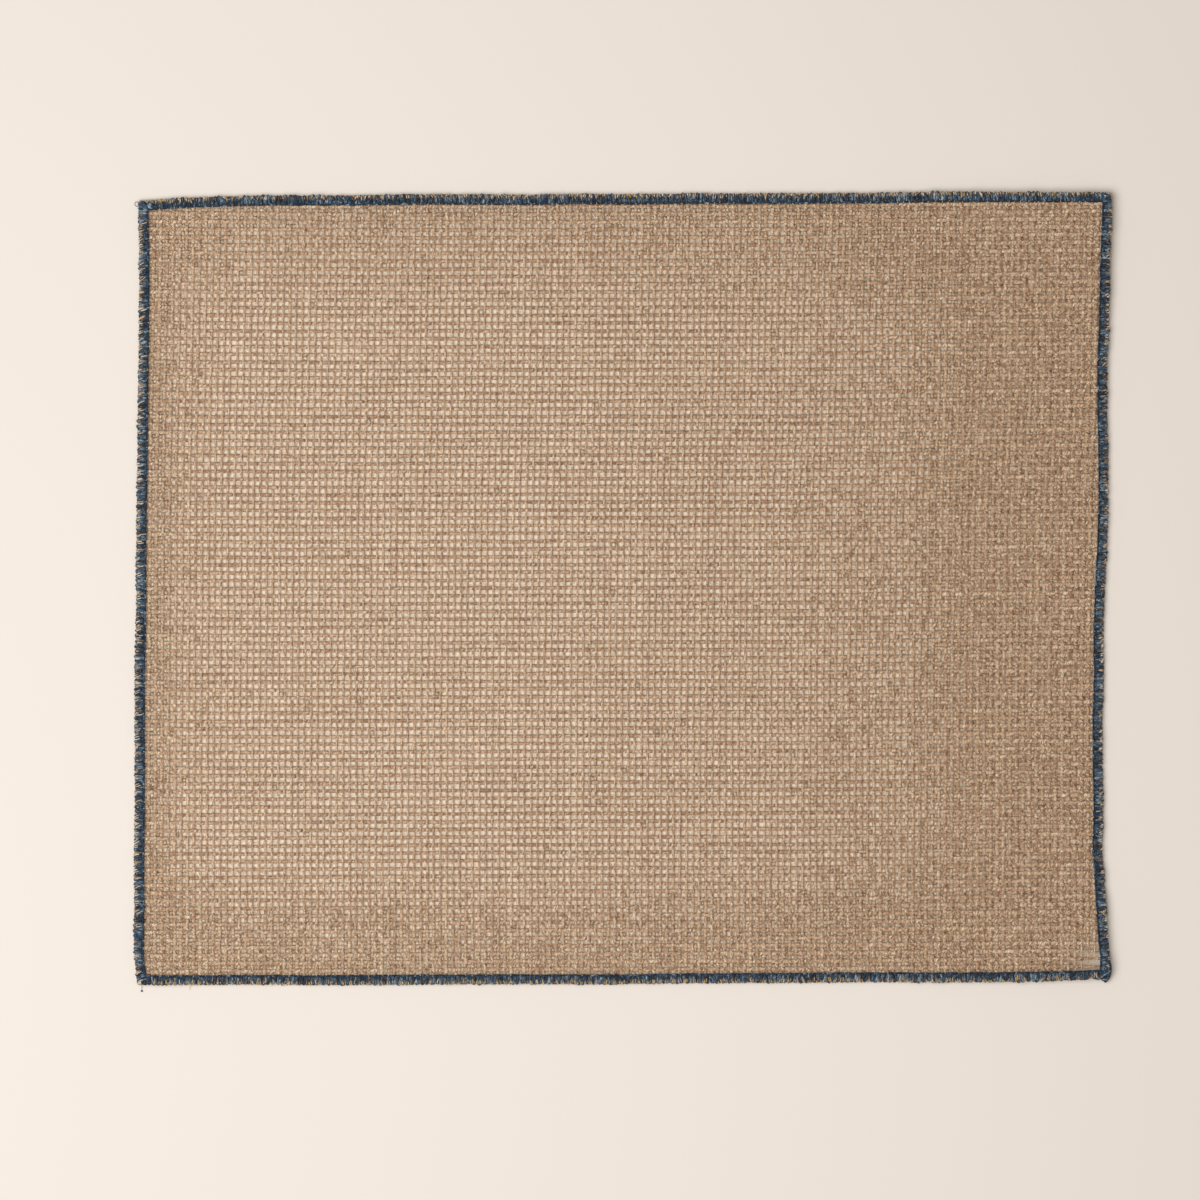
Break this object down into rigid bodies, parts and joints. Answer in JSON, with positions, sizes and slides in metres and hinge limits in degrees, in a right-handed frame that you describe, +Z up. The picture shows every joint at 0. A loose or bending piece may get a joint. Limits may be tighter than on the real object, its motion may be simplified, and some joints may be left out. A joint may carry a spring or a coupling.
{
  "type": "fabric placemat",
  "caption": "Flat rectangular placemat of coarse open-weave natural yarn, with an overlocked edge in navy thread, lying flat with its right corners slightly raised.",
  "frame": {"origin": "middle of the outline, on the surface that the mat lies on", "axes": "+X along the width, +Y up the mat as seen from above, +Z up from the surface"},
  "size_m": [0.4548, 0.369, 0.0059],
  "materials": {
    "natural_yarn": "coarse, matte, fibrous plain weave with small open gaps",
    "navy_thread": "textured sewing thread with a slight sheen, in dense overlock stitches"
  },
  "bodies": {
    "root": {"cloth": "natural_yarn", "edge_stitch_left": "navy_thread", "edge_stitch_right": "navy_thread", "edge_stitch_bottom": "navy_thread", "edge_stitch_top": "navy_thread"}
  },
  "joints": []
}
